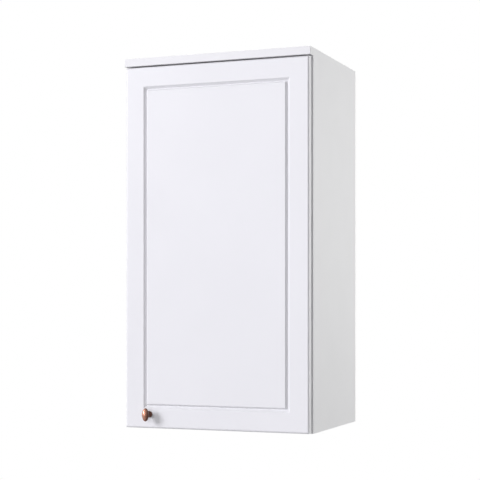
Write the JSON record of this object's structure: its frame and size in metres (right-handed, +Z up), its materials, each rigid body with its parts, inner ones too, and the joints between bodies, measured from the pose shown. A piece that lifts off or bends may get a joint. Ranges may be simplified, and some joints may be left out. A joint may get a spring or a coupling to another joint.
{
  "type": "hanging wall cabinet",
  "caption": "Narrow hanging wall cabinet with a framed door on concealed cup hinges, a small oval knob, adjustable shelves and hooks over a wall rail.",
  "frame": {"origin": "middle of the cabinet's lower rear edge, on the wall plane", "axes": "+X to the right seen from the front, +Y into the wall, +Z up, along the cabinet's height"},
  "size_m": [0.4, 0.3356, 0.755],
  "materials": {
    "melamine": "melamine-faced chipboard, fine satin grain",
    "door_foil": "satin foil over routed fibreboard",
    "hardboard": "white-printed hardboard",
    "aged_copper": "aged copper, rubbed bright on its high places",
    "nickel_plated_steel": "nickel-plated sheet steel, soft sheen",
    "zinc_plated_steel": "zinc plated",
    "zinc_alloy": "die-cast zinc, matt",
    "galvanised_steel": "galvanised sheet steel",
    "white_plastic": "moulded, semi-gloss",
    "hanger_plastic": "moulded polyamide, matt",
    "clear_rubber": "soft translucent",
    "beech": "fluted beech dowel"
  },
  "bodies": {
    "carcass": {"back_panel": "hardboard", "bottom_panel": "melamine", "cam_bolts": "zinc_plated_steel", "cam_cover_caps": "white_plastic", "cam_locks": "zinc_alloy", "dowels": "beech", "hanger_adjusting_screws": "zinc_plated_steel", "hinge_arm_screws": "zinc_plated_steel", "hinge_plate_screws": "zinc_plated_steel", "left_hanger_hook": "galvanised_steel", "left_hanger_housing": "hanger_plastic", "left_side_panel": "melamine", "lower_hinge_arm": "nickel_plated_steel", "lower_hinge_plate": "nickel_plated_steel", "lower_shelf": "melamine", "lower_shelf_supports": "nickel_plated_steel", "right_hanger_hook": "galvanised_steel", "right_hanger_housing": "hanger_plastic", "right_side_panel": "melamine", "top_panel": "melamine", "upper_hinge_arm": "nickel_plated_steel", "upper_hinge_plate": "nickel_plated_steel", "upper_shelf": "melamine", "upper_shelf_supports": "nickel_plated_steel", "wall_rail": "galvanised_steel"},
    "door": {"door_panel": "door_foil", "knob": "aged_copper", "knob_screw": "zinc_plated_steel", "lower_hinge_cup": "nickel_plated_steel", "upper_hinge_cup": "nickel_plated_steel", "lower_hinge_pin": "nickel_plated_steel", "upper_hinge_pin": "nickel_plated_steel", "hinge_cup_screws": "zinc_plated_steel", "door_bumpers": "clear_rubber"}
  },
  "joints": [
    {"name": "door_swing", "type": "hinge", "parent": "carcass", "child": "door", "pos_m": [0.191, -0.301, 0], "axis": [0, 0, 1], "range_deg": [0, 95]}
  ]
}
